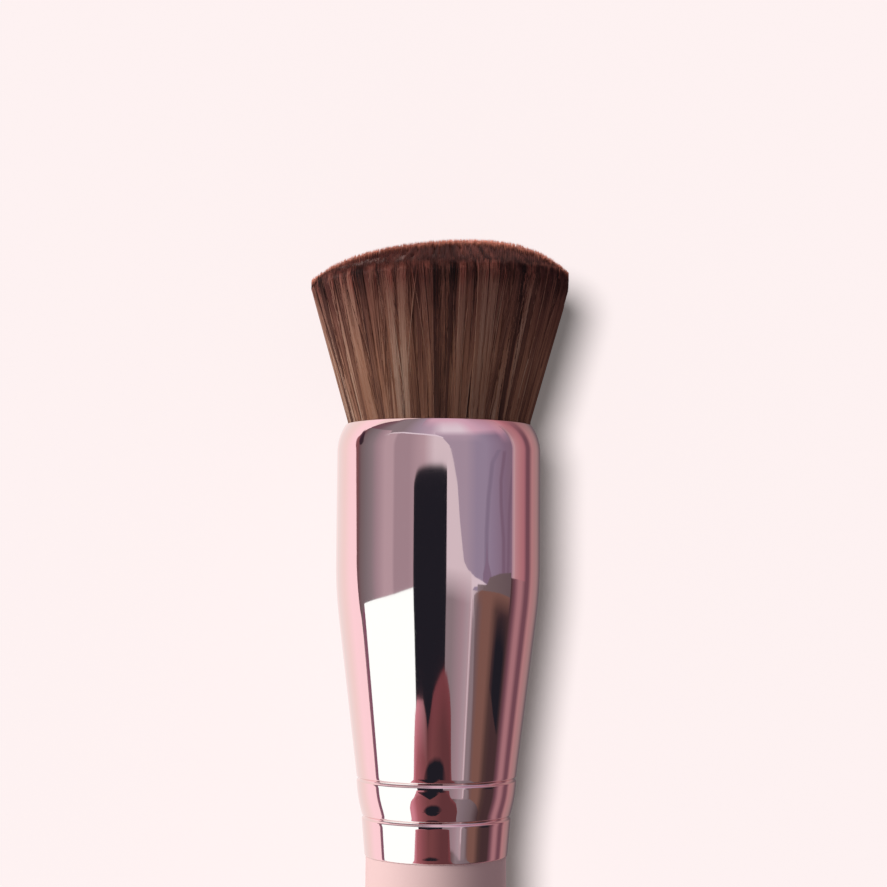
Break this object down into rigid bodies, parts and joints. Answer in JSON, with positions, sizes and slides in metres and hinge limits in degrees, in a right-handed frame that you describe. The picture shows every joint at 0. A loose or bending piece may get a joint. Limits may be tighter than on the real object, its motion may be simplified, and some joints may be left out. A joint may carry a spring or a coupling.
{
  "type": "makeup brush",
  "caption": "Flat-top kabuki makeup brush: dense flared bristles in a tapered metal ferrule on a straight-necked handle.",
  "frame": {"origin": "centre of the flat foot at the free end of the handle", "axes": "+Z along the brush's axis, from the foot of the handle to the tips of the bristles"},
  "size_m": [0.0338, 0.0338, 0.1614],
  "materials": {
    "handle": "soft-touch matt lacquer, pale pink",
    "ferrule": "polished and anodised, rose gold",
    "glue": "clear amber epoxy",
    "resin": "amber epoxy",
    "band": "matt",
    "bristles": "fine synthetic fibre, brown with lighter reddish tips"
  },
  "bodies": {
    "root": {"handle": "handle", "tenon_glue": "glue", "ferrule": "ferrule", "root_resin": "resin", "root_band": "band", "bristles_core": "bristles", "bristles_inner": "bristles", "bristles_middle": "bristles", "bristles_outer": "bristles", "bristles_rim": "bristles"}
  },
  "joints": []
}
